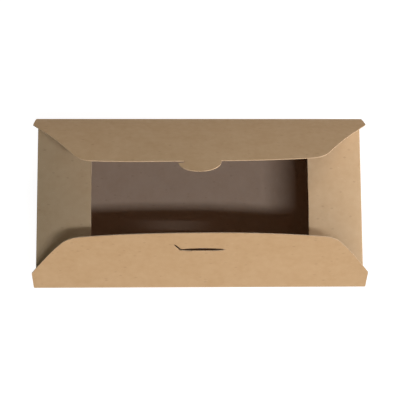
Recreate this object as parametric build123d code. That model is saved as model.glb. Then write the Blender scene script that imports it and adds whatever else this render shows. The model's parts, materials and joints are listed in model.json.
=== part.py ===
"""Kraft board takeaway box: a tapered tray with its two end flaps, and two long flaps hinged on it.

The tray is one folded sheet: a floor, four walls that lean outwards, a folded web at each corner that lies
glued on the end wall, and the end flaps, which are bent inwards over the mouth. Two long flaps close over them.
The rear one ends in a half-round tongue, and the front one has the slit that takes it.

Frame: +X along the box, +Y to the rear, +Z up, origin at the middle of the underside. Millimetres.
"""

from build123d import *
from math import atan2, cos, degrees, hypot, radians, sin, tan
import os

# --- the sheet ---
board = 0.5  # thickness of the kraft board
fold_radius = 0.8  # outer radius of a bend along a score line
foot_radius = 0.72  # outer radius of the bend between the floor and a wall

# --- the tray ---
rim_length = 205.0  # along the fold lines of the long flaps
rim_width = 106.0  # between the outer faces of the long walls at the rim
height = 77.0  # underside to the fold lines of the flaps
wall_lean = 9.0  # how far each wall leans out from floor to rim
web_angle = 41.0  # half the angle of a corner web, between the long wall's edge and the web's own fold
web_layers = 2  # layers of board that a folded web lays on the end wall

# --- the end flaps, which are part of the tray's sheet ---
end_flap_length = 34.5  # fold line to free edge
end_flap_root_angle = 15.0  # above the horizontal, at the fold line
end_flap_tip_angle = 5.0  # above the horizontal, at the free edge
end_flap_side_gap = 2.5  # from the corner to the flap's side, at the fold line
end_flap_side_inset = 21.0  # how far the side has come in at the free edge
end_flap_corner_radius = 6.0

# --- the fold lines of the long flaps ---
hinge_clearance = 0.55  # from the fold line to the edge of the wall, and to the edge of the flap
flap_end_gap = 0.1  # how much shorter than the rim a long flap is, at each end

# --- outline of the long flaps, laid flat ---
taper_angle = 56.8  # of the tapered side, from the fold line
flap_corner_radius = 13.0
bend_length = 16.0  # fold line to where the flap's curl changes

# --- the rear flap and its tongue ---
rear_length = 68.3  # fold line to the middle of the free edge
rear_straight_side = 16.3  # from the fold line up to where the side starts to taper
rear_edge_rise = 2.8  # how much the free edge bows out in the middle
rear_root_angle = 70.0  # above the horizontal, leaning inwards
rear_bend_angle = 61.0  # at bend_length
rear_tip_angle = 49.0
tongue_radius = 12.4
tongue_centre = -1.4  # along X
tongue_set_back = 0.18  # the disc's centre is this far beyond the free edge's level ends
tongue_sheet = 1.5  # how far the bent sheet runs on past the free edge, in tongue radii
barb_gap = 2.0  # the notch between the tongue's barb and the free edge
barb_length = 3.6

# --- the front flap and its slit ---
front_length = 54.7
front_straight_side = 13.4
front_edge_rise = 4.2
front_root_angle = 50.0
front_bend_angle = 54.5
front_tip_angle = 65.5
slit_from_free_edge = 18.1
slit_centre_offset = 2.15  # the slit's middle from the tongue's, along X
slit_end_clearance = 0.75  # the straight cut is this much longer than the tongue is wide, at each end
slit_width = 0.4
slit_bulge = 0.3  # how much further it gapes in the middle
slit_lead_length = 6.8  # the slanted lead at the left end
slit_lead_angle = 55.0

wall_angle = degrees(atan2(wall_lean, height))  # of every wall, from the vertical
wall_across = board / cos(radians(wall_angle))  # the wall's thickness, measured level
web_thickness = web_layers * board
tray_length = rim_length - 2 * web_thickness  # at the rim, over the end walls alone
fold_line_y = rim_width / 2 - wall_across / 2  # the long flaps turn about the middle of the wall's thickness
floor_width = rim_width - 2 * wall_lean


def strip_face(start, angle, runs, thickness):
    """Outline of a bent strip of board: its middle line starts at a point and angle, and each run is
    (length, turn in degrees). A run with no turn is straight, and any other is a round arc."""
    x, y = start
    heading = radians(angle)
    left = []
    right = []
    left_point = (x - sin(heading) * thickness / 2, y + cos(heading) * thickness / 2)
    right_point = (x + sin(heading) * thickness / 2, y - cos(heading) * thickness / 2)
    first = (left_point, right_point)
    for length, turn in runs:
        turned = radians(turn)
        chord = length if turn == 0 else length * sin(turned / 2) / (turned / 2)
        half = length / 2 if turn == 0 else length * sin(turned / 4) / (turned / 2)
        middle = (x + half * cos(heading + turned / 4), y + half * sin(heading + turned / 4))
        mid_heading = heading + turned / 2
        x, y = x + chord * cos(mid_heading), y + chord * sin(mid_heading)
        heading += turned
        for side, edges in ((1, left), (-1, right)):
            began = left_point if side == 1 else right_point
            shift = side * thickness / 2
            ended = (x - sin(heading) * shift, y + cos(heading) * shift)
            on_way = (middle[0] - sin(mid_heading) * shift, middle[1] + cos(mid_heading) * shift)
            edges.append(Line(began, ended) if turn == 0 else ThreePointArc(began, on_way, ended))
            if side == 1:
                left_point = ended
            else:
                right_point = ended
    caps = [Line(*first), Line(left_point, right_point)]
    return make_face(left + right + caps)


def frustum(length, width, low, high):
    """A solid that widens upwards as the walls lean, from z = low to z = high. Length and width are at the rim."""
    def section(z):
        out = wall_lean * (height - z) / height
        return Plane.XY.offset(z) * RectangleRounded(length - 2 * out, width - 2 * out, fold_radius)

    return loft([section(low), section(high)])


def end_plane(side):
    """The outer face of an end wall: local x along Y, local y up the wall, origin at its foot."""
    foot = (side * (tray_length / 2 - wall_lean), 0, 0)
    up = Vector(side * wall_lean, 0, height).normalized()
    across = Vector(0, 1, 0)
    return Plane(origin=foot, x_dir=across, z_dir=across.cross(up))


def corner_web(side, across):
    """A folded web: a triangle of two layers on the outer face of an end wall, from the corner at the foot
    up to the corner at the rim. Its own fold runs inwards from the foot."""
    slant = hypot(height, wall_lean)
    foot = (across * floor_width / 2, 0.0)
    trim = 1 - hinge_clearance / height
    rim = (across * (rim_width / 2 - wall_lean * (1 - trim)), slant * trim)
    fold_angle = radians(wall_angle - web_angle)
    fold_length = slant * cos(radians(web_angle))
    inner = (foot[0] + across * fold_length * sin(fold_angle), fold_length * cos(fold_angle))
    outline = make_face([Line(foot, rim), Line(rim, inner), Line(inner, foot)])
    plane = end_plane(side)
    outwards = 1 if plane.z_dir.X * side > 0 else -1
    return extrude(plane * outline, amount=outwards * web_thickness, dir=plane.z_dir)


def end_flap(side):
    """An end flap with its fold. It leaves the end wall's top, turns inwards and bows over the mouth."""
    bend = 90 + wall_angle - end_flap_root_angle  # how far the sheet turns at the fold line
    middle_radius = fold_radius - board / 2
    setback = middle_radius * tan(radians(bend / 2))
    wall_top = Vector(tray_length / 2 - wall_across / 2, height)
    up = Vector(sin(radians(wall_angle)), cos(radians(wall_angle)))
    start = wall_top - up * (setback + board)
    runs = [
        (board, 0),
        (middle_radius * radians(bend), bend),
        (end_flap_length - setback, end_flap_root_angle - end_flap_tip_angle),
    ]
    profile = strip_face((start.X, start.Y), 90 - wall_angle, runs, board)
    face = Plane.XZ * profile
    sheet = extrude(face, amount=rim_width, both=True)
    root = rim_width / 2 - end_flap_side_gap
    tip = rim_width / 2 - end_flap_side_inset
    fold_x = tray_length / 2
    edge_x = fold_x - end_flap_length * cos(radians((end_flap_root_angle + end_flap_tip_angle) / 2))
    corners = [(fold_x + board, -root), (fold_x - board, -root), (edge_x, -tip), (edge_x, tip)]
    corners += [(fold_x - board, root), (fold_x + board, root)]
    outline = make_face(Polyline(*corners, close=True))
    outline = fillet(outline.vertices().sort_by(Axis.X)[:2], end_flap_corner_radius)
    flap = sheet & extrude(outline, amount=2 * height)
    return flap if side == 1 else mirror(flap, Plane.YZ)


def tray():
    """The folded tray: floor, walls, corner webs and end flaps, one solid."""
    outer = frustum(tray_length, rim_width, 0, height - hinge_clearance)
    foot_edges = outer.faces().sort_by(Axis.Z)[0].edges()
    outer = fillet(foot_edges, foot_radius)
    inner = frustum(tray_length - 2 * wall_across, rim_width - 2 * wall_across, board, height)
    walls = outer - inner
    for side in (-1, 1):
        for across in (-1, 1):
            walls += corner_web(side, across)
        walls += end_flap(side)
    below = Pos(0, 0, -height / 2) * Box(2 * rim_length, 2 * rim_width, height)
    return walls - below  # so that the foot of each web ends level with the underside


def flap_outline(length, straight_side, edge_rise):
    """Half-plane outline of a long flap laid flat, its fold line on Y = 0: straight sides, tapered shoulders
    with round corners, and a free edge that bows out."""
    half = rim_length / 2 - flap_end_gap
    shoulder = length - edge_rise
    inset = (shoulder - straight_side) / tan(radians(taper_angle))
    corner = half - inset
    edges = [
        Line((-half, hinge_clearance), (half, hinge_clearance)),
        Line((half, hinge_clearance), (half, straight_side)),
        Line((half, straight_side), (corner, shoulder)),
        ThreePointArc((corner, shoulder), (0, length), (-corner, shoulder)),
        Line((-corner, shoulder), (-half, straight_side)),
        Line((-half, straight_side), (-half, hinge_clearance)),
    ]
    face = make_face(edges)
    tops = [v for v in face.vertices() if abs(v.Y - shoulder) < board]
    return fillet(tops, flap_corner_radius)


def tongue():
    """The half-round tongue on the rear flap's free edge. A notch at its left end leaves a barb."""
    level = rear_length - tongue_set_back
    disc = Pos(tongue_centre, level) * Circle(tongue_radius)
    below = Pos(0, level / 2) * Rectangle(rim_length, level)
    notch_x = tongue_centre - tongue_radius + (barb_length - board) / 2
    notch = Pos(notch_x, level + barb_gap / 2) * Rectangle(barb_length + board, barb_gap)
    return disc - below - notch


def slit_outline():
    """The slit: a straight cut that gapes a little in the middle, with a slanted lead at its left end."""
    along = front_length - slit_from_free_edge
    half = tongue_radius + slit_end_clearance
    middle = tongue_centre + slit_centre_offset
    left = middle - half
    right = middle + half
    upper = along + slit_width / 2
    lower = along - slit_width / 2
    cut = make_face(
        [
            ThreePointArc((left, upper), (middle, upper + slit_bulge), (right, upper)),
            Line((right, upper), (right, lower)),
            ThreePointArc((right, lower), (middle, lower - slit_bulge), (left, lower)),
            Line((left, lower), (left, upper)),
        ]
    )
    lead_x = left - slit_lead_length / 2 * cos(radians(slit_lead_angle))
    lead_y = along + slit_lead_length / 2 * sin(radians(slit_lead_angle))
    lead_face = Rectangle(slit_lead_length + slit_width, slit_width)
    return cut + Pos(lead_x, lead_y) * Rot(0, 0, -slit_lead_angle) * lead_face


def long_flap(outline, length, angles, side):
    """A long flap in place. Its outline is cut through a bowed sheet, square to the sheet's chord.
    angles are the sheet's at the fold line, at bend_length and at the free edge.
    side is 1 for the rear flap and -1 for the front one."""
    root_angle, bend_angle, tip_angle = angles
    start = (hinge_clearance * cos(radians(root_angle)), hinge_clearance * sin(radians(root_angle)))
    outer_length = length - bend_length
    past = 1 + tongue_sheet * tongue_radius / outer_length
    runs = [
        (bend_length - hinge_clearance, bend_angle - root_angle),
        (past * outer_length, past * (tip_angle - bend_angle)),
    ]
    face = strip_face(start, root_angle, runs, board)
    profile_plane = Plane(origin=(0, side * fold_line_y, height), x_dir=(0, -side, 0), z_dir=(-side, 0, 0))
    sheet = extrude(profile_plane * face, amount=rim_length, both=True)
    inner_part = bend_length * (root_angle + bend_angle) / 2
    outer_part = outer_length * (bend_angle + tip_angle) / 2
    chord_angle = radians((inner_part + outer_part) / length)
    chord = Vector(0, -side * cos(chord_angle), sin(chord_angle))
    along = Vector(1, 0, 0)
    cut_plane = Plane(origin=(0, side * fold_line_y, height), x_dir=along, z_dir=along.cross(chord))
    return sheet & extrude(cut_plane * outline, amount=length, both=True)


def rear_flap():
    """The rear flap with its tongue."""
    outline = flap_outline(rear_length, rear_straight_side, rear_edge_rise) + tongue()
    return long_flap(outline, rear_length, (rear_root_angle, rear_bend_angle, rear_tip_angle), 1)


def front_flap():
    """The front flap with its slit."""
    outline = flap_outline(front_length, front_straight_side, front_edge_rise) - slit_outline()
    return long_flap(outline, front_length, (front_root_angle, front_bend_angle, front_tip_angle), -1)


def main():
    os.makedirs("parts", exist_ok=True)
    nodes = {"box_tray": tray(), "rear_flap": rear_flap(), "front_flap": front_flap()}
    for name, shape in nodes.items():
        export_step(shape, f"parts/{name}.step")
        print(name, "solids", len(shape.solids()), "volume", round(shape.volume, 1))


main()
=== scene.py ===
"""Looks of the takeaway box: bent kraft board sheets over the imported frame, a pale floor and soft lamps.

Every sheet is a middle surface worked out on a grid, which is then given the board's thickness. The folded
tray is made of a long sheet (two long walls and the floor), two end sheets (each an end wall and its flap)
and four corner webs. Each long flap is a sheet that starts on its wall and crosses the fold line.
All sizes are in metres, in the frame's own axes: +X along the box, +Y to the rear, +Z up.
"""

import json
import logging
import math
from dataclasses import dataclass
from enum import Enum

import bpy
import numpy as np
from mathutils import Euler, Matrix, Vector


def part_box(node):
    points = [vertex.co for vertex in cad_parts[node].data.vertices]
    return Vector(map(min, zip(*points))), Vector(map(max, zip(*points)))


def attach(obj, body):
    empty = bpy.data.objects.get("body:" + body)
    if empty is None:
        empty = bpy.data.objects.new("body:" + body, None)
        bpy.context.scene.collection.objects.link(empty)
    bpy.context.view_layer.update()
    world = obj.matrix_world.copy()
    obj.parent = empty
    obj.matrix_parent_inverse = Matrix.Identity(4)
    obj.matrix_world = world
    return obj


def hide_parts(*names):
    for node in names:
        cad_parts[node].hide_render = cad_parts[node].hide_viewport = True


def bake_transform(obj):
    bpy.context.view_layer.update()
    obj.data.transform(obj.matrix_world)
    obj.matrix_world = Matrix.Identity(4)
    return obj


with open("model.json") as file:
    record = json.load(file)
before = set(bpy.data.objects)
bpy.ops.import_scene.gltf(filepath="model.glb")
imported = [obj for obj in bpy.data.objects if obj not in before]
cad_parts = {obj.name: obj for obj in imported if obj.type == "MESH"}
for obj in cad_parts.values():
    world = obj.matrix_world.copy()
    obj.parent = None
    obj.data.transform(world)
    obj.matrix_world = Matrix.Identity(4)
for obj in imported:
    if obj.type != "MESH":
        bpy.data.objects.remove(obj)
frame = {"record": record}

LOG = logging.getLogger("takeaway_box")
MM = 0.001
TINY = 1e-7


class Side(Enum):
    """Which side of the box a mirrored piece is on, as the sign of its axis."""

    LOW = -1
    HIGH = 1


class Slot(Enum):
    """Material slots of a sheet: its outer face, the edge that the die cut, and its inner face, whose darker,
    greyer kraft is partly the board's own inner tone and partly painted shade of the box's interior.
    """

    FACE = 0
    CUT_EDGE = 1
    INSIDE = 2


def smooth(value: np.ndarray) -> np.ndarray:
    """Smoothstep: 3t^2 - 2t^3 of the value held between 0 and 1."""
    held = np.clip(value, 0.0, 1.0)
    return held * held * (3.0 - 2.0 * held)


def spread(start: float, end: float, step: float) -> np.ndarray:
    """Evenly spaced values from start to end, no further apart than step."""
    return np.linspace(start, end, max(2, int(math.ceil(abs(end - start) / step)) + 1))


def join_runs(*runs: np.ndarray) -> np.ndarray:
    """Runs of values end to end, with each shared end written once."""
    return np.concatenate([runs[0]] + [run[1:] for run in runs[1:]])


def near_score(distance: np.ndarray, reach: float) -> np.ndarray:
    """A sheet's fold value: 1 on a score line, and exp(-(distance / reach)^2) beside it."""
    return np.exp(-((distance / reach) ** 2))


def follow(headings: np.ndarray, along: np.ndarray, start: tuple[float, float]) -> np.ndarray:
    """Walks a profile whose heading is known at each distance.

    The position is the start plus the running integral of (cos h, sin h), by the trapezium rule.

    Args:
        headings: angle of the profile at each distance, in radians.
        along: the distances, in order.
        start: position at the first distance.

    Returns:
        An array of (across, up) pairs, one for each distance.
    """
    step = np.diff(along)[:, None]
    direction = np.stack([np.cos(headings), np.sin(headings)], axis=1)
    moves = (direction[1:] + direction[:-1]) / 2 * step
    return np.array(start) + np.concatenate([np.zeros((1, 2)), np.cumsum(moves, axis=0)])


@dataclass(frozen=True)
class Board:
    """The kraft board that every sheet is cut from."""

    thickness: float = 0.5 * MM
    score_half: float = 0.55 * MM  # half the width of a pressed score line, along the sheet
    grid: float = 1.1 * MM  # how far apart the points of a sheet are


@dataclass
class Patch:
    """One grid of a sheet's middle surface.

    points is rows x columns x 3, flat is rows x columns x 2 with each point's place on the flat sheet, and
    fold is rows x columns, from 0 on plain board to 1 on a score line.
    """

    points: np.ndarray
    flat: np.ndarray
    fold: np.ndarray


@dataclass
class SheetMaker:
    """Turns patches into closed sheets of board.

    Fields:
        board: the board's sizes.
        materials: one for each Slot, in its order.
        heart: a point in the middle of the box, which inner faces look towards.
        sharp_angle: faces that meet at more than this are shaded with a crease between them.
    """

    board: Board
    materials: tuple[bpy.types.Material, ...]
    heart: tuple[float, float, float] = (0.0, 0.0, 0.05)
    sharp_angle: float = math.radians(40.0)

    def make(self, name: str, patches: list[Patch], thickness: float | None = None) -> bpy.types.Object:
        """Joins the patches where their points meet, and gives the sheet its thickness.

        Args:
            name: the piece's name.
            patches: grids that share points along their seams.
            thickness: the sheet's thickness, if it isn't one layer of board.

        Returns:
            The finished piece, with its cut edges in a slot of their own.
        """
        middle = self._middle(name, patches)
        solidify = middle.modifiers.new("board", "SOLIDIFY")
        solidify.thickness = thickness or self.board.thickness
        solidify.offset = 0.0
        solidify.material_offset_rim = Slot.CUT_EDGE.value
        depsgraph = bpy.context.evaluated_depsgraph_get()
        mesh = bpy.data.meshes.new_from_object(middle.evaluated_get(depsgraph))
        bpy.data.objects.remove(middle)
        mesh.name = name
        mesh.polygons.foreach_set("use_smooth", np.ones(len(mesh.polygons), dtype=bool))
        mesh.set_sharp_from_angle(angle=self.sharp_angle)
        self._mark_inside(mesh)
        piece = bpy.data.objects.new(name, mesh)
        bpy.context.scene.collection.objects.link(piece)
        LOG.info("%s: %d faces", name, len(mesh.polygons))
        return piece

    def _mark_inside(self, mesh: bpy.types.Mesh) -> None:
        """Puts the faces that look towards the box's middle in the inner face's slot, whose darker kraft is
        partly painted shade.
        """
        count = len(mesh.polygons)
        centres, normals = np.zeros(count * 3), np.zeros(count * 3)
        slots = np.zeros(count, dtype=np.int32)
        mesh.polygons.foreach_get("center", centres)
        mesh.polygons.foreach_get("normal", normals)
        mesh.polygons.foreach_get("material_index", slots)
        towards = np.array(self.heart) - centres.reshape(-1, 3)
        inner = (towards * normals.reshape(-1, 3)).sum(axis=1) > 0.0
        slots[inner & (slots == Slot.FACE.value)] = Slot.INSIDE.value
        mesh.polygons.foreach_set("material_index", slots)

    def _middle(self, name: str, patches: list[Patch]) -> bpy.types.Object:
        """The sheet's middle surface as an object: quads between neighbouring points of each grid."""
        points, flats, folds, quads, first = [], [], [], [], 0
        for patch in patches:
            rows, columns = patch.fold.shape
            index = first + np.arange(rows * columns).reshape(rows, columns)
            corners = (index[:-1, :-1], index[:-1, 1:], index[1:, 1:], index[1:, :-1])
            quads.append(np.stack(corners, axis=-1).reshape(-1, 4))
            points.append(patch.points.reshape(-1, 3))
            flats.append(patch.flat.reshape(-1, 2))
            folds.append(patch.fold.ravel())
            first += rows * columns
        every = np.concatenate(points)
        faces = np.concatenate(quads)
        _, kept, merged = np.unique(np.round(every / TINY), axis=0, return_index=True, return_inverse=True)
        mesh = bpy.data.meshes.new(name)
        mesh.from_pydata(every[kept], [], merged.ravel()[faces])
        uv_map = mesh.uv_layers.new(name="flat_sheet")
        uv_map.data.foreach_set("uv", np.concatenate(flats)[faces.ravel()].astype(np.float32).ravel())
        fold = mesh.attributes.new("fold", "FLOAT", "POINT")
        fold.data.foreach_set("value", np.concatenate(folds)[kept].astype(np.float32))
        for material in self.materials:
            mesh.materials.append(material)
        middle = bpy.data.objects.new(name + "_middle", mesh)
        bpy.context.scene.collection.objects.link(middle)
        return middle


@dataclass
class Tray:
    """The folded tray: floor, walls, end flaps and corner webs. Lengths are at the walls' outer faces."""

    maker: SheetMaker
    rim_z: float
    rim_half_y: float
    wall_lean: float = 9.0 * MM
    web_thickness: float = 1.0 * MM
    foot_radius: float = 0.55 * MM
    wall_top_gap: float = 1.2 * MM  # from the long flaps' fold lines down to the top of the long sheet
    flap_length: float = 34.5 * MM
    flap_root_angle: float = math.radians(15.0)
    flap_tip_angle: float = math.radians(5.0)
    flap_side_gap: float = 2.5 * MM
    flap_side_inset: float = 21.0 * MM
    flap_corner_radius: float = 6.0 * MM
    web_angle: float = math.radians(41.0)
    web_layer_share: float = 0.92  # a web's layers are this much of the board's thickness, to stay apart
    bow: float = 0.5 * MM  # how far the middle of a wall stands out
    curl: float = 0.5 * MM  # height of the slow wave along an end flap's free edge
    curl_swing: float = 1.4  # half waves from the middle of that edge to its end
    curl_phase: float = 0.6
    floor_step: float = 4.0 * MM  # how far apart rows of points are on the floor, a wall, a foot and a fold
    wall_step: float = 1.6 * MM
    foot_step: float = 0.2 * MM
    fold_step: float = 0.14 * MM
    long_columns: int = 121
    end_columns: int = 97
    web_lines: int = 60
    foot_wear: float = 1.2 * MM  # how far the wear reaches from a foot, a fold line and a web's folds
    fold_wear: float = 1.0 * MM
    web_wear: float = 0.9 * MM
    end_map: tuple[float, float] = (0.3, 0.5)  # where the end sheets and the webs lie on the pulp's pattern
    web_map: tuple[float, float] = (0.7, 0.2)

    def __post_init__(self) -> None:
        """Works out what every sheet shares: the walls' slope and the outer face's half length at the rim."""
        self.slope = math.atan2(self.wall_lean, self.rim_z)
        box_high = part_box("box_tray")[1]
        self.rim_half_x = box_high[0] - self.web_thickness
        self.half_board = self.maker.board.thickness / 2

    def in_at(self, z: np.ndarray) -> np.ndarray:
        """How far a wall's outer face is in from the rim at height z: the lean's share below the rim."""
        return self.wall_lean * (self.rim_z - z) / self.rim_z

    def long_sheet(self) -> bpy.types.Object:
        """The front wall, floor and rear wall as one bent sheet.

        Its profile runs up each wall from a bend at the foot. Each point's X is u times the half length at
        that height, and the walls stand out by bow * (1 - u^2) * sin(pi * height share).

        Returns:
            The piece.
        """
        floor_half = self.rim_half_y - self.wall_lean - self.half_board / math.cos(self.slope)
        top = (self.rim_z - self.wall_top_gap) / math.cos(self.slope)
        turn = math.pi / 2 - self.slope
        bend = self.foot_radius * turn
        setback = self.foot_radius * math.tan(turn / 2)
        flat_run = spread(0.0, floor_half - setback, self.floor_step)
        bend_run = flat_run[-1] + spread(0.0, bend, self.foot_step)
        wall_run = bend_run[-1] + spread(0.0, top - setback - self.half_board, self.wall_step)
        along = join_runs(flat_run, bend_run, wall_run)
        heading = np.interp(along, [flat_run[-1], bend_run[-1]], [0.0, turn])
        profile = follow(heading, along, (0.0, self.half_board))
        mirrored = profile[:0:-1] * np.array([-1.0, 1.0])
        profile = np.concatenate([mirrored, profile])
        along = np.concatenate([-along[:0:-1], along])
        u = np.linspace(-1.0, 1.0, self.long_columns)
        half = self.rim_half_x + self.half_board - self.in_at(profile[:, 1])
        x = u[None, :] * half[:, None]
        share = np.clip(profile[:, 1] / self.rim_z, 0.0, 1.0)
        out = self.bow * np.sin(math.pi * share)[:, None] * (1.0 - u**2)[None, :]
        y = profile[:, 0][:, None] + np.sign(profile[:, 0])[:, None] * out
        z = np.broadcast_to(profile[:, 1][:, None], x.shape)
        fold = near_score(np.abs(along) - (flat_run[-1] + bend / 2), self.foot_wear)
        patch = Patch(
            np.stack([x, y, z], axis=-1),
            np.stack([x, np.broadcast_to(along[:, None], x.shape)], axis=-1),
            np.broadcast_to(fold[:, None], x.shape),
        )
        return self.maker.make("long_sheet", [patch])

    def end_sheet(self, side: Side) -> bpy.types.Object:
        """An end wall and its flap as one sheet.

        Its profile runs up the wall, turns in at the fold line, and curls slightly on along the flap. Each
        point's Y is v times the half width at that distance: the wall's up to the fold line, and beyond it a
        taper with round corners.

        Args:
            side: the end that it is on.

        Returns:
            The piece.
        """
        board = self.maker.board
        wall = self.rim_z / math.cos(self.slope)
        start_z = self.half_board
        turn = math.pi / 2 + self.slope - self.flap_root_angle
        wall_run = spread(0.0, wall - board.score_half - start_z, self.wall_step)
        fold_run = wall_run[-1] + spread(0.0, 2 * board.score_half, self.fold_step)
        corner = self.flap_corner_radius
        flap_run = fold_run[-1] + spread(0.0, self.flap_length - corner - board.score_half, board.grid)
        round_run = flap_run[-1] + corner * np.sin(np.linspace(0.0, math.pi / 2, 15))
        along = join_runs(wall_run, fold_run, flap_run, round_run)
        folded = smooth((along - wall_run[-1]) / (2 * board.score_half))
        past = np.clip((along - fold_run[-1]) / self.flap_length, 0.0, 1.0)
        heading = math.pi / 2 - self.slope + turn * folded
        heading += (self.flap_root_angle - self.flap_tip_angle) * past
        low_x = self.rim_half_x - self.half_board / math.cos(self.slope) - self.in_at(np.array(start_z))
        profile = follow(heading, along, (float(low_x), start_z))
        # An end wall's cut edges stop inside the long walls' board, three quarters of its thickness in.
        wall_half = self.rim_half_y - 1.5 * self.half_board - self.in_at(profile[:, 1])
        root = self.rim_half_y - self.flap_side_gap
        tip = self.rim_half_y - self.flap_side_inset
        from_fold = along - (wall_run[-1] + board.score_half)
        taper = root + (tip - root) * np.clip(from_fold / self.flap_length, 0.0, 1.0)
        rounded = np.clip(along - flap_run[-1], 0.0, corner)
        taper -= corner - np.sqrt(np.maximum(corner**2 - rounded**2, 0.0))
        half = np.where(from_fold < -1.5 * board.score_half, wall_half, taper)
        v = np.linspace(-1.0, 1.0, self.end_columns)
        y = v[None, :] * half[:, None]
        share = np.clip(along / wall, 0.0, 1.0)
        out = self.bow * np.sin(math.pi * share)[:, None] * (1.0 - v**2)[None, :]
        wave = np.cos(math.pi * self.curl_swing * v + self.curl_phase)
        curl = self.curl * (past**2)[:, None] * wave[None, :]
        x = profile[:, 0][:, None] + out
        z = profile[:, 1][:, None] + curl
        fold = near_score(from_fold, self.fold_wear)
        map_along = np.broadcast_to((along + self.end_map[0] * side.value)[:, None], y.shape)
        flat = np.stack([map_along, y + self.end_map[1]], axis=-1)
        points = np.stack([x * side.value, y, np.broadcast_to(z, y.shape)], axis=-1)
        patch = Patch(points, flat, np.broadcast_to(fold[:, None], y.shape))
        return self.maker.make(f"end_sheet_{side.name.lower()}", [patch])

    def corner_web(self, side: Side, across: Side) -> bpy.types.Object:
        """A corner web: the long wall's board carried round the corner, folded double on the end wall.

        The web is a triangle with its tip at the foot of the corner. Each line across it is the top edge
        drawn smaller: it goes round the corner on a quarter circle, out to the web's own fold, round a
        hairpin of one layer's thickness, and back underneath.

        Args:
            side: the end wall that it lies on.
            across: the long wall that it belongs to.

        Returns:
            The piece.
        """
        layer = self.web_thickness / 2
        slant = (self.rim_z - self.wall_top_gap / 2) / math.cos(self.slope)
        reach = slant * math.cos(self.web_angle)
        tilt = self.web_angle - self.slope
        tip = np.array([reach * math.sin(tilt), reach * math.cos(tilt)])
        # Each run of one line, from the corner out and back: the quarter circle, the outer layer, the hairpin
        # and the inner layer, which stops short of the corner.
        quarter = np.linspace(0.0, math.pi / 2, 7)
        hairpin = np.linspace(0.0, math.pi, 9)
        outer = np.linspace(0.0, 1.0, 26)[1:-1]
        inner = np.linspace(1.0, 0.04, 14)[1:]
        none, one = np.zeros_like, np.ones_like
        share = np.concatenate([none(quarter), outer, one(hairpin), inner])
        beyond = layer * np.concatenate(
            [1.0 - np.cos(quarter), one(outer), 1.0 + np.sin(hairpin) / 2, one(inner)]
        )
        lift = layer * np.concatenate(
            [0.5 + np.sin(quarter), 1.5 * one(outer), 1.0 + np.cos(hairpin) / 2, 0.5 * one(inner)]
        )
        size = np.linspace(0.02, 1.0, self.web_lines)[:, None]
        inwards = size * share[None, :] * tip[0] + beyond[None, :]
        up = size * (slant + (tip[1] - slant) * share[None, :])
        z = up * math.cos(self.slope)
        x = self.rim_half_x - self.in_at(z) + lift[None, :]
        y = self.rim_half_y - self.half_board - self.in_at(z) - inwards
        to_fold = size * (1.0 - share)[None, :] * tip[0]
        fold = near_score(to_fold, self.web_wear) + near_score(inwards, self.web_wear)
        flat = np.stack([inwards + self.web_map[0], up + self.web_map[1] * across.value], axis=-1)
        points = np.stack([x * side.value, y * across.value, z], axis=-1)
        patch = Patch(points, flat, np.clip(fold, 0.0, 1.0))
        name = f"corner_web_{side.name.lower()}_{across.name.lower()}"
        return self.maker.make(name, [patch], self.maker.board.thickness * self.web_layer_share)

    def build(self) -> list[bpy.types.Object]:
        """Makes every piece of the tray and puts it on the tray's body."""
        pieces = [self.long_sheet()]
        for side in Side:
            pieces.append(self.end_sheet(side))
            pieces += [self.corner_web(side, across) for across in Side]
        for piece in pieces:
            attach(piece, "tray")
        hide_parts("box_tray")
        return pieces


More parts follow.
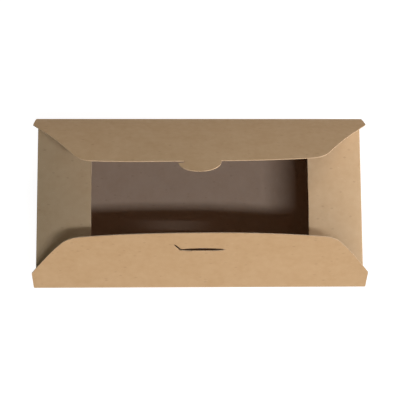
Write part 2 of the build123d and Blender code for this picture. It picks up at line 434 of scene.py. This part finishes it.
@dataclass
class LongFlap:
    """A long flap, from just below its fold line to its free edge.

    Fields:
        maker: makes the sheet.
        node: the CAD node that the flap replaces.
        body: the body that it rides on; not used.
        side: the long wall that it belongs to.
        axis_y: the fold line's place along Y.
        axis_z: the fold line's height.
        wall_angle: the wall's heading below the fold line, measured from level and inwards.
        length: fold line to the middle of the free edge.
        root_angle: the flap's heading at the fold line.
        bend_angle: its heading at bend_length.
        tip_angle: its heading at the free edge.
        bend_length: how far from the fold line the flap curls most.
        half_length: half the flap's length along its fold line, where it is widest.
        wall_half_length: half the length of the strip of wall that the sheet starts on.
        below: how far down the wall the sheet starts.
        flare_half: the step between those two half lengths is this far to both sides of the fold line.
        straight_side: fold line to the start of the taper.
        taper_angle: the tapered side's angle to the fold line.
        edge_rise: how much further from the fold line the free edge is in its middle than at its ends.
        rise_start: share of the length at which the rows start to rise in the middle, on a flap with no slit.
        corner_radius: radius between the tapered side and the free edge.
        ripple: height of the slow waves along the free edge.
        long_wave, short_wave: the waves' lengths, over two pi.
        short_share: height of the short wave, as a share of the long one's.
        wave_phases: where the waves start, in radians; the long one's changes sign with the side.
        twist: how far one end of the free edge stands off the flap's surface, and the other end sinks.
        fine_end: fold line to where the rows of points stand further apart.
        score_wear: how far the wear reaches from the fold line.
        map_shift: how far from the pulp pattern's origin the flap lies, towards its own side.
        tongue: the tongue, if the flap has one.
        slit: the slit, if the flap has one.
    """

    maker: SheetMaker
    node: str
    body: str
    side: Side
    axis_y: float
    axis_z: float
    wall_angle: float
    length: float
    root_angle: float
    bend_angle: float
    tip_angle: float
    bend_length: float = 16.0 * MM
    half_length: float = 102.4 * MM
    wall_half_length: float = 101.75 * MM
    below: float = 1.2 * MM
    flare_half: float = 0.4 * MM
    straight_side: float = 13.4 * MM
    taper_angle: float = math.radians(56.8)
    edge_rise: float = 3.6 * MM
    rise_start: float = 0.4
    corner_radius: float = 13.0 * MM
    ripple: float = 0.35 * MM
    long_wave: float = 31.0 * MM
    short_wave: float = 17.0 * MM
    short_share: float = 0.6
    wave_phases: tuple[float, float] = (0.9, 2.1)
    twist: float = 0.0
    fine_end: float = 1.5 * MM
    score_wear: float = 0.9 * MM
    map_shift: float = 0.9
    tongue: "Tongue | None" = None
    slit: "Slit | None" = None

    @property
    def shoulder(self) -> float:
        """Fold line to the ends of the free edge."""
        return self.length - self.edge_rise

    @property
    def end_half(self) -> float:
        """Half length of the free edge."""
        return float(self.half_at(np.array([self.shoulder]))[0])

    def half_at(self, along: np.ndarray) -> np.ndarray:
        """Half length of the flap at a distance from the fold line.

        It is straight, then tapers, then follows a circle tangent to the taper and to the free edge's level.
        """
        slope = math.tan(self.taper_angle)
        taper = self.half_length - (along - self.straight_side) / slope
        radius = self.corner_radius
        centre_s = self.shoulder - radius
        centre_x = self.half_length - (centre_s - self.straight_side) / slope
        centre_x -= radius / math.sin(self.taper_angle)
        level = np.clip(along - centre_s, -radius, radius)
        circle = centre_x + np.sqrt(np.maximum(radius**2 - level**2, 0.0))
        touch = centre_s + radius * math.cos(self.taper_angle)
        half = np.where(along < touch, np.minimum(taper, self.half_length), circle)
        flare = smooth((along + self.flare_half) / (2 * self.flare_half))
        at_fold = self.wall_half_length + (self.half_length - self.wall_half_length) * flare
        return np.where(along < self.flare_half, at_fold, half)

    def place(self, x: np.ndarray, along: np.ndarray) -> np.ndarray:
        """Places points of the flat flap in the box.

        The heading is the wall's up to the score line, turns to the root's across it, and from there changes
        evenly to the bend's and then evenly to the tip's. Position is its running integral. Slow waves and
        the twist are added along the surface's normal, and grow with the square of the distance from the fold
        line.

        Args:
            x: places along the fold line.
            along: distances from the fold line.

        Returns:
            An array of the same shape with a last axis of 3.
        """
        score = self.maker.board.score_half
        past_tongue = self.length * 1.25
        across_score = spread(-self.below, 2 * score, 0.05 * MM)
        table = join_runs(across_score, spread(2 * score, past_tongue, 0.5 * MM))
        folded = smooth((table + score) / (2 * score))
        heading = self.wall_angle + (self.root_angle - self.wall_angle) * folded
        stations = [0.0, self.bend_length, self.length]
        headings = [self.root_angle, self.bend_angle, self.tip_angle]
        heading += np.interp(table, stations, headings) - self.root_angle
        first = (-self.below * math.cos(self.wall_angle), -self.below * math.sin(self.wall_angle))
        profile = follow(heading, table, first)
        inwards = np.interp(along, table, profile[:, 0])
        up = np.interp(along, table, profile[:, 1])
        angle = np.interp(along, table, heading)
        share = np.clip(along / self.length, 0.0, 1.2)
        long_phase, short_phase = self.wave_phases
        wave = np.sin(x / self.long_wave + long_phase * self.side.value)
        wave = wave + self.short_share * np.sin(x / self.short_wave + short_phase)
        off = (self.ripple * wave + self.twist * x / self.half_length) * share**2
        if self.slit:
            off = off + self.slit.lip(x, along)
        inwards = inwards - off * np.sin(angle)
        up = up + off * np.cos(angle)
        y = self.axis_y - self.side.value * inwards
        return np.stack([x, y, self.axis_z + up], axis=-1)

    def main_patches(self, u: np.ndarray) -> list[Patch]:
        """The flap's grid, or with a slit two grids that part along it and share points beside it."""
        grid = self.maker.board.grid
        fine = spread(-self.below, self.fine_end, 0.15 * MM)
        round_start = self.shoulder - self.corner_radius
        corner = round_start + self.corner_radius * np.sin(np.linspace(0.0, math.pi / 2, 22))
        if not self.slit:
            return [self._grid(u, join_runs(fine, spread(self.fine_end, round_start, grid), corner), 0.0)]
        lower = join_runs(fine, spread(self.fine_end, self.slit.along, grid))
        upper = join_runs(spread(self.slit.along, round_start, grid), corner)
        return [self._grid(u, lower, -1.0), self._grid(u, upper, 1.0)]

    def _grid(self, u: np.ndarray, rows: np.ndarray, lip: float) -> Patch:
        """One grid of the flap: X is u times the half length, and the rows rise to an arc at the free edge.

        Args:
            u: shares of the half length, from -1 to 1.
            rows: distances of the rows from the fold line.
            lip: which lip of the slit the grid ends on: -1 for the lower, 1 for the upper, 0 with no slit.

        Returns:
            The grid.
        """
        x = u[None, :] * self.half_at(rows)[:, None]
        base = np.broadcast_to(rows[:, None], x.shape)
        begin = self.slit.along if self.slit else self.length * self.rise_start
        lifted = np.clip((base - begin) / (self.shoulder - begin), 0.0, 1.0)
        along = base + self.edge_rise * lifted * (1.0 - (x / self.end_half) ** 2)
        if self.slit:
            along = along + self.slit.shift(x, base, self.shoulder)
            at_slit = np.abs(base - self.slit.along) < TINY
            along = along + np.where(at_slit, lip * self.slit.gape(x) / 2, 0.0)
        return Patch(self.place(x, along), self.on_map(x, along), near_score(base, self.score_wear))

    def on_map(self, x: np.ndarray, along: np.ndarray) -> np.ndarray:
        """Places on the sheet's flat map, which lies to one side of the pulp pattern's origin."""
        return np.stack([x, along + self.map_shift * self.side.value], axis=-1)

    def columns(self) -> np.ndarray:
        """Places across the flap, as shares of its half length, with the tongue's own ends among them."""
        u = spread(-1.0, 1.0, self.maker.board.grid / self.half_length)
        if not self.tongue:
            return u
        low, high = self.tongue.root_low / self.end_half, self.tongue.root_high / self.end_half
        inner = spread(low, high, self.maker.board.grid / self.end_half)
        clear = 0.004  # columns nearer than this to the tongue's ends are left out
        outer = u[(u < low - clear) | (u > high + clear)]
        return np.sort(np.concatenate([outer, inner]))

    def build(self) -> bpy.types.Object:
        """Makes the flap's sheet, which turns from its wall across the score line, and hides the CAD part
        that it replaces.
        """
        u = self.columns()
        patches = self.main_patches(u)
        if self.tongue:
            last = patches[-1]
            x = u * self.end_half
            root = last.flat[-1, (x > self.tongue.root_low - TINY) & (x < self.tongue.root_high + TINY)]
            patches.append(self.tongue.patch(self, root[:, 0], root[:, 1] - self.map_shift * self.side.value))
        if self.side is Side.LOW:
            patches = [Patch(p.points[::-1], p.flat[::-1], p.fold[::-1]) for p in patches]
        piece = self.maker.make(self.node + "_sheet", patches)
        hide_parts(self.node)
        root = np.array([math.cos(self.root_angle) * -self.side.value, math.sin(self.root_angle)])
        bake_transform(piece)
        return piece


@dataclass(frozen=True)
class Tongue:
    """The half-round tongue on the rear flap's free edge, with a barb at its left that holds in the slit."""

    centre: float = -1.4 * MM
    radius: float = 12.4 * MM
    barb_reach: float = 3.6 * MM  # how far the barb's point overhangs the notch
    barb_gap: float = 2.0 * MM  # width of the notch between the free edge and the barb
    barb_slope: float = 1.1  # the barb's point is this many gaps from the free edge
    blunting: float = 0.08  # the tongue's tip is this share of the radius short of a half circle

    @property
    def root_low(self) -> float:
        """Left end of the tongue's root, at the bottom of the notch."""
        return self.centre - self.radius + self.barb_reach

    @property
    def root_high(self) -> float:
        """Right end of the tongue's root."""
        return self.centre + self.radius

    def patch(self, flap: LongFlap, root_x: np.ndarray, root_along: np.ndarray) -> Patch:
        """The tongue's grid, which starts on points of the free edge.

        Each row spans from a left end to a right end. Both ends follow a circle, apart from the first rows,
        whose left end stays at the bottom of the notch until the barb reaches out over it.

        Args:
            flap: the flap that it belongs to.
            root_x: places along the fold line of the root's points.
            root_along: their distances from the fold line.

        Returns:
            The grid.
        """
        share = (root_x - root_x[0]) / (root_x[-1] - root_x[0])
        barb = self.barb_gap * self.barb_slope
        # The last row stops just short of the tip, where it would shrink to a point.
        circle = np.linspace(math.asin(barb / self.radius), math.pi / 2 - 0.02, 22)
        depth = np.concatenate([[0.0, self.barb_gap / 2, self.barb_gap], self.radius * np.sin(circle)])
        reach = np.sqrt(np.maximum(self.radius**2 - depth**2, 0.0))
        left = self.centre - reach
        left[:3] = self.root_low
        right = self.centre + reach
        x = left[:, None] + (right - left)[:, None] * share[None, :]
        along = root_along[None, :] + depth[:, None] * (1.0 - self.blunting * depth[:, None] / self.radius)
        x[0] = root_x
        along[0] = root_along
        return Patch(flap.place(x, along), flap.on_map(x, along), np.zeros_like(x))


@dataclass(frozen=True)
class Slit:
    """The slit that takes the tongue: a straight cut with a slanted lead at its left, slightly open."""

    along: float  # distance of the straight cut from the fold line
    left: float = -12.4 * MM
    right: float = 13.9 * MM
    lead_x: float = -16.4 * MM
    lead_rise: float = 5.9 * MM
    lead_fade: float = 30.0 * MM  # beyond the lead's end, how far the rows take to come level again
    width: float = 1.3 * MM
    bulge: float = 1.1 * MM
    lead_width: float = 2.5 * MM  # measured along the flap, so the lead itself is about half as wide
    end_taper: float = 0.8 * MM  # each end closes to nothing over this length
    lip_lift: float = 0.25 * MM
    lip_reach: float = 3.0 * MM  # how far beside the slit the lips bend
    lip_run: float = 6.0 * MM  # how far from the straight cut's ends the lips stand fully apart

    def shift(self, x: np.ndarray, base: np.ndarray, top: float) -> np.ndarray:
        """Moves the grid's rows so that the slit's row follows the slanted lead.

        The shift is the lead's rise along the lead, dies away to its left, and fades towards the fold line
        and the free edge.
        """
        stations = [self.lead_x - self.lead_fade, self.lead_x, self.left]
        rise = np.interp(x, stations, [0.0, self.lead_rise, 0.0])
        fade = np.interp(base, [0.0, self.along, top], [0.0, 1.0, 0.0])
        return rise * fade

    def gape(self, x: np.ndarray) -> np.ndarray:
        """Width of the open slit along the flap: even on the lead, and a lens on the straight cut."""
        middle = (self.left + self.right) / 2
        half = (self.right - self.left) / 2
        lens = self.width + self.bulge * np.maximum(1.0 - ((x - middle) / half) ** 2, 0.0)
        lens = np.where(x < self.left, self.lead_width, lens)
        ends = np.minimum(x - self.lead_x, self.right - x)
        return lens * np.clip(ends / self.end_taper, 0.0, 1.0)

    def lip(self, x: np.ndarray, along: np.ndarray) -> np.ndarray:
        """How far the board beside the slit stands off its flap: the upper lip sinks, the lower lifts."""
        past = along - self.along
        near = np.exp(-((past / self.lip_reach) ** 2))
        from_left = np.clip((x - self.left) / self.lip_run, 0.0, 1.0)
        from_right = np.clip((self.right - x) / self.lip_run, 0.0, 1.0)
        return -self.lip_lift * near * (from_left * from_right) * np.sign(past)


class NodeBench:
    """Short ways to add and join nodes of a tree."""

    def __init__(self, tree: bpy.types.NodeTree) -> None:
        """Keeps the tree and clears it.

        Args:
            tree: a material's or group's node tree.
        """
        self.tree = tree
        tree.nodes.clear()

    def add(self, kind: str, label: str = "", **settings: object) -> bpy.types.Node:
        """Adds a node and sets its properties.

        Args:
            kind: the node's type name.
            label: what it is for.
            settings: properties of the node.

        Returns:
            The node.
        """
        node = self.tree.nodes.new(kind)
        node.label = label
        for name, value in settings.items():
            setattr(node, name, value)
        return node

    def join(self, *pairs: tuple[bpy.types.NodeSocket, bpy.types.NodeSocket]) -> None:
        """Links each output to its input."""
        for output, wanted in pairs:
            self.tree.links.new(output, wanted)

    def feed(self, socket: bpy.types.NodeSocket, value: object) -> None:
        """Gives an input another node's output, a colour as red, green and blue, or a number."""
        if isinstance(value, bpy.types.NodeSocket):
            self.join((value, socket))
        elif isinstance(value, tuple):
            socket.default_value = (*value, 1.0)
        else:
            socket.default_value = value

    def math(self, operation: str, first: object, second: object) -> bpy.types.NodeSocket:
        """Adds a Math node on sockets or numbers, and returns its output."""
        node = self.add("ShaderNodeMath", operation=operation)
        self.feed(node.inputs[0], first)
        self.feed(node.inputs[1], second)
        return node.outputs[0]

    def mix(self, factor: object, first: object, second: object) -> bpy.types.NodeSocket:
        """Mixes two colours, given as sockets or red, green and blue, and returns the result."""
        node = self.add("ShaderNodeMix", data_type="RGBA")
        for place, value in ((0, factor), (6, first), (7, second)):
            self.feed(node.inputs[place], value)
        return node.outputs[2]

    def on_sheet(self) -> bpy.types.NodeSocket:
        """Adds a node that gives the place on the flat sheet, and returns its output."""
        return self.add("ShaderNodeUVMap", uv_map="flat_sheet").outputs[0]

    def noise(self, place: object, scale: float, detail: float) -> bpy.types.NodeSocket:
        """Adds a noise texture that reads a place, and returns its value."""
        node = self.add("ShaderNodeTexNoise")
        node.inputs["Scale"].default_value = scale
        node.inputs["Detail"].default_value = detail
        self.join((place, node.inputs["Vector"]))
        return node.outputs["Fac"]

    def band(self, value: bpy.types.NodeSocket, low: float, high: float) -> bpy.types.NodeSocket:
        """Stretches a value so that low becomes 0 and high becomes 1, held between them."""
        node = self.add("ShaderNodeMapRange")
        node.inputs["From Min"].default_value = low
        node.inputs["From Max"].default_value = high
        self.join((value, node.inputs["Value"]))
        return node.outputs["Result"]


@dataclass(frozen=True)
class Pulp:
    """The pulp of kraft board, as a node group that reads a place on the flat sheet, in metres."""

    cloud_scale: float = 70.0
    mottle_scale: float = 270.0
    fibre_scale: float = 900.0
    fibre_stretch: float = 7.0
    fibre_turns: tuple[float, float] = (0.12, 1.1)  # the two directions that fibres lie in
    crossing_share: float = 0.8  # strength of the second direction's fibres
    fleck_scale: float = 330.0
    fleck_stretch: float = 1.9
    light_fleck_scale: float = 1.5  # times the dark flecks' scale
    dark_rarity: float = 0.93
    light_rarity: float = 0.95
    fibre_relief: float = 0.7
    mottle_relief: float = 0.5

    def group(self) -> bpy.types.NodeTree:
        """Builds the group once.

        Outputs: Cloud, slow tone changes; Mottle, spots of a few millimetres; Fibre, fine streaks in two
        directions; Dark Fleck and Light Fleck, masks of scattered specks; Height, the surface's relief.

        Returns:
            The group's tree.
        """
        known = bpy.data.node_groups.get("kraft_pulp")
        if known:
            return known
        tree = bpy.data.node_groups.new("kraft_pulp", "ShaderNodeTree")
        tree.interface.new_socket("Place", in_out="INPUT", socket_type="NodeSocketVector")
        for name in ("Cloud", "Mottle", "Fibre", "Dark Fleck", "Light Fleck", "Height"):
            tree.interface.new_socket(name, in_out="OUTPUT", socket_type="NodeSocketFloat")
        bench = NodeBench(tree)
        start = bench.add("NodeGroupInput")
        end = bench.add("NodeGroupOutput")
        place = start.outputs["Place"]
        cloud = bench.band(bench.noise(place, self.cloud_scale, 3.0), 0.28, 0.72)
        mottle = bench.band(bench.noise(place, self.mottle_scale, 2.0), 0.28, 0.72)
        along, crossing = (self._streaks(bench, place, turn) for turn in self.fibre_turns)
        fibre = bench.math("MAXIMUM", along, bench.math("MULTIPLY", crossing, self.crossing_share))
        dark = self._flecks(bench, place, self.fleck_scale, self.dark_rarity)
        light = self._flecks(bench, place, self.fleck_scale * self.light_fleck_scale, self.light_rarity)
        raised = bench.math("MULTIPLY", fibre, self.fibre_relief)
        relief = bench.math("ADD", raised, bench.math("MULTIPLY", mottle, self.mottle_relief))
        bench.join(
            (cloud, end.inputs["Cloud"]),
            (mottle, end.inputs["Mottle"]),
            (fibre, end.inputs["Fibre"]),
            (dark, end.inputs["Dark Fleck"]),
            (light, end.inputs["Light Fleck"]),
            (relief, end.inputs["Height"]),
        )
        return tree

    def _streaks(self, bench: NodeBench, place: object, turn: float) -> bpy.types.NodeSocket:
        """Fine streaks: a noise squeezed across one direction, of which the crests are kept."""
        mapping = bench.add("ShaderNodeMapping")
        mapping.inputs["Rotation"].default_value = (0.0, 0.0, turn)
        mapping.inputs["Scale"].default_value = (1.0, self.fibre_stretch, 1.0)
        bench.join((place, mapping.inputs["Vector"]))
        return bench.band(bench.noise(mapping.outputs[0], self.fibre_scale, 3.0), 0.5, 0.75)

    def _flecks(self, bench: NodeBench, place: object, scale: float, rarity: float) -> bpy.types.NodeSocket:
        """Scattered specks: the middles of those cells of a Voronoi pattern whose random number is high."""
        mapping = bench.add("ShaderNodeMapping")
        mapping.inputs["Scale"].default_value = (1.0, self.fleck_stretch, 1.0)
        cells = bench.add("ShaderNodeTexVoronoi", feature="F1")
        cells.inputs["Scale"].default_value = scale
        split = bench.add("ShaderNodeSeparateColor")
        bench.join(
            (place, mapping.inputs["Vector"]),
            (mapping.outputs[0], cells.inputs["Vector"]),
            (cells.outputs["Color"], split.inputs[0]),
        )
        chosen = bench.band(split.outputs[0], rarity, rarity + 0.02)
        middle = bench.band(cells.outputs["Distance"], 0.42, 0.18)
        return bench.math("MULTIPLY", chosen, middle)


@dataclass(frozen=True)
class FoldWear:
    """Wear along the score lines, as a node group that reads the sheet's own fold values."""

    break_scale: float = 260.0

    def group(self) -> bpy.types.NodeTree:
        """Builds the group once: Mask is the fold value broken up by a fine noise.

        Returns:
            The group's tree.
        """
        known = bpy.data.node_groups.get("fold_wear")
        if known:
            return known
        tree = bpy.data.node_groups.new("fold_wear", "ShaderNodeTree")
        tree.interface.new_socket("Place", in_out="INPUT", socket_type="NodeSocketVector")
        tree.interface.new_socket("Amount", in_out="INPUT", socket_type="NodeSocketFloat")
        tree.interface.new_socket("Mask", in_out="OUTPUT", socket_type="NodeSocketFloat")
        bench = NodeBench(tree)
        start = bench.add("NodeGroupInput")
        end = bench.add("NodeGroupOutput")
        fold = bench.add("ShaderNodeAttribute", attribute_name="fold")
        breaks = bench.band(bench.noise(start.outputs["Place"], self.break_scale, 3.0), 0.3, 0.65)
        broken = bench.math("MULTIPLY", fold.outputs["Fac"], breaks)
        bench.join((bench.math("MULTIPLY", broken, start.outputs["Amount"]), end.inputs["Mask"]))
        return tree


@dataclass(frozen=True)
class BoardFinish:
    """What the board's finishes share: a shader, and the pulp's tone and relief on the sheet's own map."""

    name: str
    base: tuple[float, float, float]
    deep: tuple[float, float, float]
    mottle_share: float
    relief: float
    relief_strength: float
    specular: float

    def dress(self, bench: NodeBench) -> tuple[bpy.types.Node, bpy.types.Node, bpy.types.NodeSocket]:
        """Adds the shader, the pulp, the relief and the mottled colour.

        Args:
            bench: the material's nodes.

        Returns:
            The shader, the pulp's node and the colour, which isn't joined to the shader yet.
        """
        output = bench.add("ShaderNodeOutputMaterial")
        shader = bench.add("ShaderNodeBsdfPrincipled")
        shader.inputs["Specular IOR Level"].default_value = self.specular
        pulp = bench.add("ShaderNodeGroup", "pulp", node_tree=Pulp().group())
        bump = bench.add("ShaderNodeBump")
        bump.inputs["Strength"].default_value = self.relief_strength
        bump.inputs["Distance"].default_value = self.relief
        bench.join(
            (bench.on_sheet(), pulp.inputs["Place"]),
            (pulp.outputs["Height"], bump.inputs["Height"]),
            (bump.outputs[0], shader.inputs["Normal"]),
            (shader.outputs[0], output.inputs["Surface"]),
        )
        tone = bench.math("MULTIPLY", pulp.outputs["Mottle"], self.mottle_share)
        return shader, pulp, bench.mix(tone, self.base, self.deep)

    def finish(self, bench: NodeBench) -> None:
        """Joins the material's nodes up. Each finish has its own way."""
        raise NotImplementedError

    def material(self) -> bpy.types.Material:
        """A new material with this finish."""
        material = bpy.data.materials.new(self.name)
        material.use_nodes = True
        self.finish(NodeBench(material.node_tree))
        return material


@dataclass(frozen=True)
class KraftFace(BoardFinish):
    """Finish of the board's faces: unbleached brown kraft, matt, with mottle, fibres and specks."""

    name: str = "kraft_face"
    base: tuple[float, float, float] = (0.509, 0.352, 0.194)
    deep: tuple[float, float, float] = (0.435, 0.287, 0.147)
    mottle_share: float = 0.35
    relief: float = 0.00005
    relief_strength: float = 0.6
    specular: float = 0.3
    pale: tuple[float, float, float] = (0.574, 0.418, 0.251)
    speck: tuple[float, float, float] = (0.29, 0.18, 0.09)
    roughness: tuple[float, float] = (0.72, 0.9)
    cloud_share: float = 0.45
    fibre_share: float = 0.16
    dark_fleck_share: float = 0.3
    light_fleck_share: float = 0.5
    wear: float = 0.35

    def finish(self, bench: NodeBench) -> None:
        """Lays clouds, fibres, flecks and fold wear over the mottled colour, in that order."""
        shader, pulp, colour = self.dress(bench)
        layers = (
            ("Cloud", self.cloud_share, self.pale),
            ("Fibre", self.fibre_share, self.pale),
            ("Dark Fleck", self.dark_fleck_share, self.speck),
            ("Light Fleck", self.light_fleck_share, self.pale),
        )
        for mask, share, tint in layers:
            colour = bench.mix(bench.math("MULTIPLY", pulp.outputs[mask], share), colour, tint)
        wear = bench.add("ShaderNodeGroup", "wear", node_tree=FoldWear().group())
        wear.inputs["Amount"].default_value = self.wear
        colour = bench.mix(wear.outputs["Mask"], colour, self.pale)
        rough = bench.add("ShaderNodeMapRange")
        rough.inputs["To Min"].default_value = self.roughness[0]
        rough.inputs["To Max"].default_value = self.roughness[1]
        bench.join(
            (bench.on_sheet(), wear.inputs["Place"]),
            (pulp.outputs["Mottle"], rough.inputs["Value"]),
            (rough.outputs["Result"], shader.inputs["Roughness"]),
            (colour, shader.inputs["Base Color"]),
        )


@dataclass(frozen=True)
class KraftCut(BoardFinish):
    """Finish of the die-cut edges: the board's pale, rough inner pulp."""

    name: str = "kraft_cut_edge"
    base: tuple[float, float, float] = (0.60, 0.45, 0.29)
    deep: tuple[float, float, float] = (0.46, 0.33, 0.19)
    mottle_share: float = 0.6
    relief: float = 0.00008
    relief_strength: float = 0.8
    specular: float = 0.2
    roughness: float = 0.92

    def finish(self, bench: NodeBench) -> None:
        """Gives the mottled colour one roughness."""
        shader, _, colour = self.dress(bench)
        shader.inputs["Roughness"].default_value = self.roughness
        bench.join((colour, shader.inputs["Base Color"]))


def seen_directly(bench: NodeBench) -> bpy.types.NodeSocket:
    """A mask that is 1 to the camera and in reflections, and 0 to the light that falls on the box."""
    path = bench.add("ShaderNodeLightPath")
    seen = bench.math("MAXIMUM", path.outputs["Is Camera Ray"], path.outputs["Is Glossy Ray"])
    return bench.math("MAXIMUM", seen, path.outputs["Is Transmission Ray"])


@dataclass(frozen=True)
class Lamp:
    """A soft lamp: a rectangle that faces the middle of the rim, or a point beside it along X."""

    name: str
    place: tuple[float, float, float]
    size: tuple[float, float]
    watts: float
    colour: tuple[float, float, float]
    aim_x: float = 0.0

    def build(self, target: Vector) -> None:
        """Makes the lamp, its long side level, facing the point aim_x along X from the target."""
        aim = target + Vector((self.aim_x, 0.0, 0.0))
        data = bpy.data.lights.new(self.name, "AREA")
        data.shape = "RECTANGLE"
        data.size, data.size_y = self.size
        data.energy = self.watts
        data.color = self.colour
        lamp = bpy.data.objects.new(self.name, data)
        lamp.location = self.place
        lamp.rotation_euler = (aim - Vector(self.place)).to_track_quat("-Z", "Y").to_euler()
        bpy.context.scene.collection.objects.link(lamp)


@dataclass
class Studio:
    """The floor, world, lamps and camera."""

    rim_z: float
    camera_distance: float = 614.7 * MM
    camera_lens: float = 88.56
    camera_tilt: float = math.radians(7.17)
    camera_yaw: float = math.radians(-1.47)
    camera_roll: float = math.radians(-0.10)
    camera_aside: tuple[float, float] = (-0.10 * MM, -1.36 * MM)  # the rim's middle off its axis: right, up
    floor_half: float = 1.6
    floor_paint: tuple[float, float, float] = (0.25, 0.25, 0.25)
    floor_glow: float = 0.92
    ambient: tuple[float, float, float] = (0.02, 0.02, 0.02)
    lamps: tuple[Lamp, ...] = (
        Lamp("right_window", (1.3, 0.0, 0.55), (0.7, 0.3), 11.0, (0.91, 0.92, 1.0)),
        Lamp("front_fill", (0.4, -1.3, 0.5), (1.0, 0.3), 13.6, (1.0, 0.81, 0.64)),
        Lamp("rear_right", (1.0, 0.9, 0.5), (0.5, 0.4), 8.0, (1.0, 0.84, 0.71)),
        Lamp("top_strip", (0.19, -0.305, 1.27), (0.34, 0.07), 6.8, (0.80, 0.87, 1.0), aim_x=0.19),
        Lamp("left_fill", (-1.35, 0.0, 0.42), (0.7, 0.3), 2.4, (0.96, 1.0, 0.91)),
    )

    def floor(self) -> bpy.types.Object:
        """A grey floor that takes the box's shadow, with a glow that makes it white to the camera alone."""
        h = self.floor_half
        mesh = bpy.data.meshes.new("floor")
        mesh.from_pydata([(-h, -h, 0.0), (h, -h, 0.0), (h, h, 0.0), (-h, h, 0.0)], [], [(0, 1, 2, 3)])
        floor = bpy.data.objects.new("floor", mesh)
        bpy.context.scene.collection.objects.link(floor)
        material = bpy.data.materials.new("pale_floor")
        material.use_nodes = True
        bench = NodeBench(material.node_tree)
        output = bench.add("ShaderNodeOutputMaterial")
        paint = bench.add("ShaderNodeBsdfDiffuse")
        bench.feed(paint.inputs["Color"], self.floor_paint)
        glow = bench.add("ShaderNodeEmission")
        bench.feed(glow.inputs["Color"], (1.0, 1.0, 1.0))
        total = bench.add("ShaderNodeAddShader")
        bench.join(
            (bench.math("MULTIPLY", seen_directly(bench), self.floor_glow), glow.inputs["Strength"]),
            (paint.outputs[0], total.inputs[0]),
            (glow.outputs[0], total.inputs[1]),
            (total.outputs[0], output.inputs["Surface"]),
        )
        mesh.materials.append(material)
        return floor

    def world(self) -> None:
        """Dim even light from all round, which the camera sees as white."""
        world = bpy.data.worlds.new("studio")
        bpy.context.scene.world = world
        world.use_nodes = True
        bench = NodeBench(world.node_tree)
        output = bench.add("ShaderNodeOutputWorld")
        background = bench.add("ShaderNodeBackground")
        colour = bench.mix(seen_directly(bench), self.ambient, (1.0, 1.0, 1.0))
        bench.join((colour, background.inputs["Color"]), (background.outputs[0], output.inputs["Surface"]))

    def camera(self) -> None:
        """A camera above the box that looks down, tilted a little so that it stands towards the front."""
        data = bpy.data.cameras.new("camera")
        data.lens = self.camera_lens
        data.sensor_width = 36.0
        data.clip_start, data.clip_end = 0.01, 20.0
        turn = Euler((self.camera_tilt, self.camera_yaw, self.camera_roll), "ZYX").to_matrix()
        camera = bpy.data.objects.new("camera", data)
        camera.rotation_euler = turn.to_euler()
        offset = turn @ Vector((-self.camera_aside[0], -self.camera_aside[1], self.camera_distance))
        camera.location = Vector((0.0, 0.0, self.rim_z)) + offset
        bpy.context.scene.collection.objects.link(camera)
        bpy.context.scene.camera = camera

    def build(self) -> None:
        """Sets the whole stage."""
        self.floor()
        self.world()
        self.camera()
        for lamp in self.lamps:
            lamp.build(Vector((0.0, 0.0, self.rim_z)))
        bpy.context.scene.view_settings.view_transform = "Standard"


def joint_place(name: str) -> tuple[float, float]:
    """Y and Z of a joint's axis, from the frame's record.

    Args:
        name: the joint's name.

    Returns:
        The axis's place along Y and its height.
    """
    joint = next(j for j in frame["record"]["behaviour"]["joints"] if j["name"] == name)
    return joint["pos_m"][1], joint["pos_m"][2]


def main() -> None:
    """Builds the box and its stage."""
    logging.basicConfig(level=logging.INFO, format="%(name)s: %(message)s")
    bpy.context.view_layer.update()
    board = Board()
    # Darker, greyer kraft on the faces that look into the box: partly the board's greyer inner tone, partly
    # painted shade of the box's interior.
    inside = KraftFace(
        name="kraft_inside",
        base=(0.41, 0.28, 0.185),
        deep=(0.36, 0.235, 0.145),
        pale=(0.46, 0.33, 0.23),
        speck=(0.25, 0.16, 0.09),
        roughness=(0.5, 0.62),
    )
    maker = SheetMaker(board, (KraftFace().material(), KraftCut().material(), inside.material()))
    rear_y, rim_z = joint_place("rear_flap_fold")
    front_y, _ = joint_place("front_flap_fold")
    slope = math.atan2(Tray.wall_lean, rim_z)
    half_y = rear_y + board.thickness / 2 / math.cos(slope)
    Tray(maker, rim_z, half_y).build()
    wall_angle = math.pi / 2 + slope
    rear = LongFlap(
        maker, "rear_flap", "rear_lid", Side.HIGH, rear_y, rim_z, wall_angle,
        length=68.3 * MM,
        root_angle=math.radians(70.0),
        bend_angle=math.radians(61.0),
        tip_angle=math.radians(49.0),
        straight_side=16.3 * MM,
        edge_rise=2.8 * MM,
        twist=1.2 * MM,
        tongue=Tongue(),
    )
    front = LongFlap(
        maker, "front_flap", "front_lid", Side.LOW, front_y, rim_z, wall_angle,
        length=54.7 * MM,
        root_angle=math.radians(50.0),
        bend_angle=math.radians(54.5),
        tip_angle=math.radians(65.5),
        edge_rise=4.2 * MM,
        twist=-0.5 * MM,
        slit=Slit(along=36.6 * MM),
    )
    rear.build()
    front.build()
    Studio(rim_z).build()


if __name__ == "__main__":
    main()
